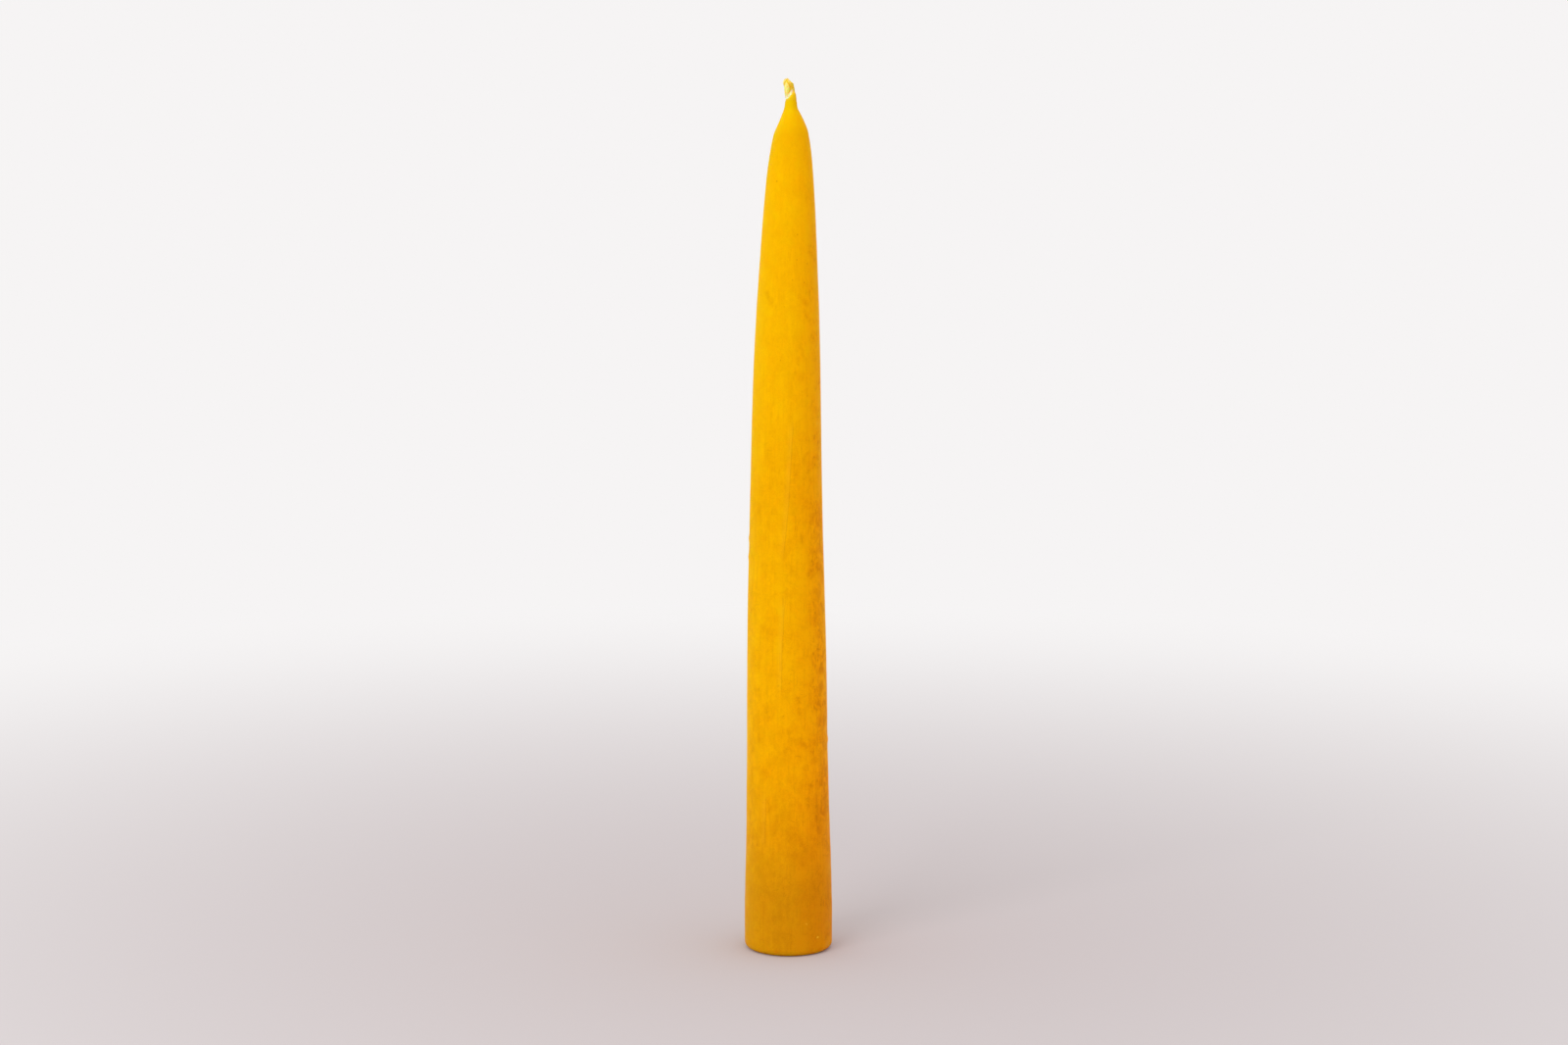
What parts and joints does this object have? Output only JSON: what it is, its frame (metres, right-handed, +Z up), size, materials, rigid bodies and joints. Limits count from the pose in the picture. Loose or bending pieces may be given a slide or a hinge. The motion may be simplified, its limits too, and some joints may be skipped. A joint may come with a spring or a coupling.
{
  "type": "taper candle",
  "caption": "Hand-dipped beeswax taper candle with a straight round foot, a long tapering side, a cone and neck, and a bare plaited wick.",
  "frame": {"origin": "centre of the foot's flat face, on the surface that the candle stands on", "axes": "+Z up along the candle's axis, towards the wick; the bare wick leans towards -X"},
  "size_m": [0.0222, 0.0222, 0.22],
  "materials": {
    "beeswax": "satin, translucent, dipped",
    "waxed_cotton": "plaited cotton soaked in wax"
  },
  "bodies": {
    "root": {"wax_body": "beeswax", "wick": "waxed_cotton"}
  },
  "joints": []
}
